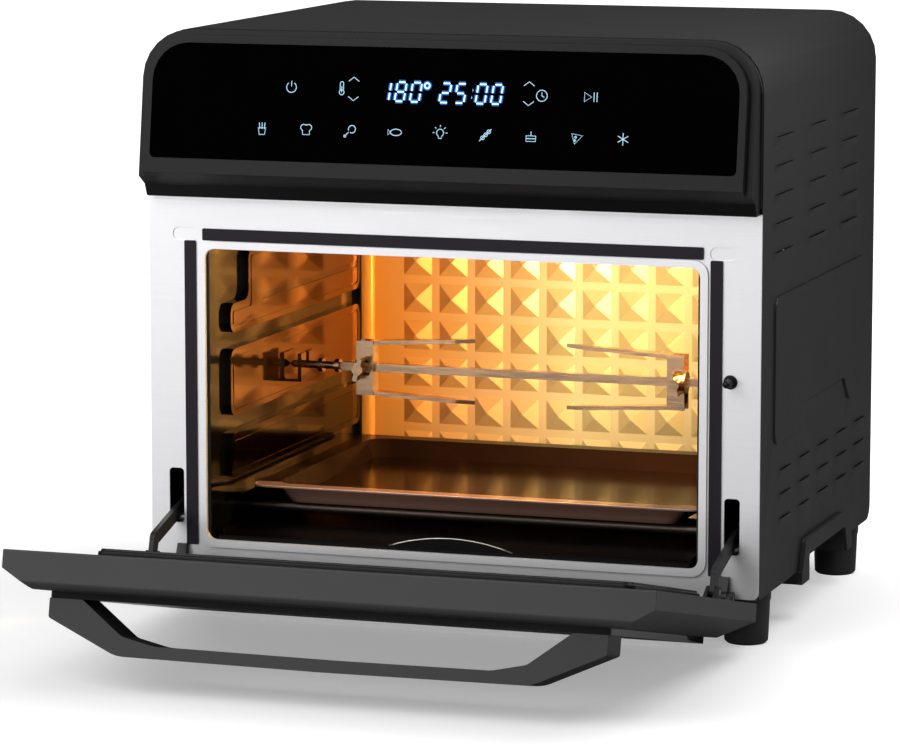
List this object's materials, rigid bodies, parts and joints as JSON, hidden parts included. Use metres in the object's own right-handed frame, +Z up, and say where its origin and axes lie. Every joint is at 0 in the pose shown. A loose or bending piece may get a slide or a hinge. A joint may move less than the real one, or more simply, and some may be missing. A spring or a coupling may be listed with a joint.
{
  "type": "rotisserie oven",
  "caption": "Countertop oven with a drop-down glazed door, a motor-driven rotisserie spit with forks, trays, a convection fan and a sloping touch-control panel.",
  "frame": {"origin": "under the middle of the bounding box with the door open, on the plane that the feet stand on", "axes": "+X to the user's right, +Y to the oven's back, +Z up"},
  "size_m": [0.386, 0.5184, 0.357],
  "materials": {
    "shell_paint": "satin",
    "zinc_sheet": "dull",
    "grey_plastic": "matt",
    "stainless": "brushed",
    "gasket": "matt",
    "black_plastic": "satin",
    "control_glass": "gloss",
    "board": "matt",
    "cavity_steel": "satin",
    "motor": "dull",
    "heater": "matt",
    "lamp_glass": "gloss",
    "ceramic": "matt",
    "spit_steel": "polished",
    "enamel": "gloss",
    "crumb_aluminium": "dull",
    "door_plastic": "satin",
    "door_glass": "gloss",
    "handle_plastic": "satin",
    "black_steel": "satin"
  },
  "bodies": {
    "cabinet": {"outer_shell": "shell_paint", "rear_cover": "shell_paint", "base_plate": "zinc_sheet", "front_feet": "grey_plastic", "rear_feet": "grey_plastic", "side_handle_left": "grey_plastic", "side_handle_right": "grey_plastic", "front_frame": "stainless", "gasket_top": "gasket", "gasket_left": "gasket", "gasket_right": "gasket", "hood": "black_plastic", "control_glass": "control_glass", "control_board": "board", "cavity_left": "cavity_steel", "cavity_right": "cavity_steel", "cavity_back": "cavity_steel", "cavity_ceiling": "cavity_steel", "cavity_floor": "cavity_steel", "tray_ledges": "cavity_steel", "fan_guard": "cavity_steel", "fan_housing": "zinc_sheet", "fan_motor": "motor", "ring_heater": "heater", "lower_heaters": "heater", "lamp_lens": "lamp_glass", "lamp_holder": "ceramic", "spit_support": "cavity_steel", "spit_motor": "motor", "hinge_brackets": "black_steel", "roller_brackets": "zinc_sheet", "switch_body": "black_plastic", "cord_gland": "gasket", "cover_screws": "zinc_sheet"},
    "door": {"door_frame": "door_plastic", "outer_glass": "door_glass", "inner_frame": "black_plastic", "inner_glass": "door_glass", "door_handle": "handle_plastic", "handle_bolts": "zinc_sheet", "hinge_plates": "black_steel", "hinge_pins": "zinc_sheet"},
    "arm_left": {"hinge_arm_left": "black_steel"},
    "arm_right": {"hinge_arm_right": "black_steel"},
    "roller_left": {"arm_roller_left": "zinc_sheet"},
    "roller_right": {"arm_roller_right": "zinc_sheet"},
    "spit": {"spit_rod": "spit_steel", "spit_socket": "spit_steel"},
    "fork_left": {"fork_left": "spit_steel"},
    "fork_right": {"fork_right": "spit_steel"},
    "screw_left": {"fork_screw_left": "spit_steel"},
    "screw_right": {"fork_screw_right": "spit_steel"},
    "fan": {"convection_fan": "zinc_sheet"},
    "baking_tray": {"baking_tray": "enamel"},
    "crumb_tray": {"crumb_tray": "crumb_aluminium"},
    "switch_pin": {"switch_pin": "black_plastic"}
  },
  "joints": [
    {"name": "door_hinge", "type": "hinge", "parent": "cabinet", "child": "door", "pos_m": [0, -0.03938, 0.0329], "axis": [-1, 0, 0], "range_deg": [0, 77.3]},
    {"name": "arm_left_pivot", "type": "hinge", "parent": "door", "child": "arm_left", "pos_m": [-0.1736, -0.07511, 0.0431], "axis": [-1, 0, 0], "range_deg": [-38.7, 0]},
    {"name": "arm_right_pivot", "type": "hinge", "parent": "door", "child": "arm_right", "pos_m": [0.1736, -0.07511, 0.0431], "axis": [-1, 0, 0], "range_deg": [-38.7, 0]},
    {"name": "roller_left_spin", "type": "hinge", "parent": "cabinet", "child": "roller_left", "pos_m": [-0.1736, -0.02178, 0.0585], "axis": [1, 0, 0], "continuous": true},
    {"name": "roller_right_spin", "type": "hinge", "parent": "cabinet", "child": "roller_right", "pos_m": [0.1736, -0.02178, 0.0585], "axis": [1, 0, 0], "continuous": true},
    {"name": "spit_turn", "type": "hinge", "parent": "cabinet", "child": "spit", "pos_m": [0, 0.09022, 0.1385], "axis": [1, 0, 0], "continuous": true},
    {"name": "fork_left_slide", "type": "slide", "parent": "spit", "child": "fork_left", "axis": [1, 0, 0], "range_m": [-0.01, 0.025]},
    {"name": "fork_right_slide", "type": "slide", "parent": "spit", "child": "fork_right", "axis": [1, 0, 0], "range_m": [-0.025, 0.018]},
    {"name": "fork_left_screw", "type": "hinge", "parent": "fork_left", "child": "screw_left", "pos_m": [-0.0965, 0.07822, 0.1385], "axis": [0, -1, 0], "continuous": true},
    {"name": "fork_right_screw", "type": "hinge", "parent": "fork_right", "child": "screw_right", "pos_m": [0.1075, 0.07822, 0.1385], "axis": [0, -1, 0], "continuous": true},
    {"name": "fan_spin", "type": "hinge", "parent": "cabinet", "child": "fan", "pos_m": [0, 0.10522, 0.251], "axis": [0, 0, 1], "continuous": true},
    {"name": "baking_tray_slide", "type": "slide", "parent": "cabinet", "child": "baking_tray", "axis": [0, 1, 0], "range_m": [-0.14, 0]},
    {"name": "crumb_tray_slide", "type": "slide", "parent": "cabinet", "child": "crumb_tray", "axis": [0, 1, 0], "range_m": [-0.045, 0]},
    {"name": "switch_push", "type": "slide", "parent": "cabinet", "child": "switch_pin", "axis": [0, 1, 0], "range_m": [0, 0.0045]}
  ],
  "couplings": [
    {"joint": "arm_left_pivot", "follows": "door_hinge", "ratio": -0.5},
    {"joint": "arm_right_pivot", "follows": "door_hinge", "ratio": -0.5},
    {"joint": "switch_push", "follows": "door_hinge", "m_per_rad": 0.0032613}
  ]
}
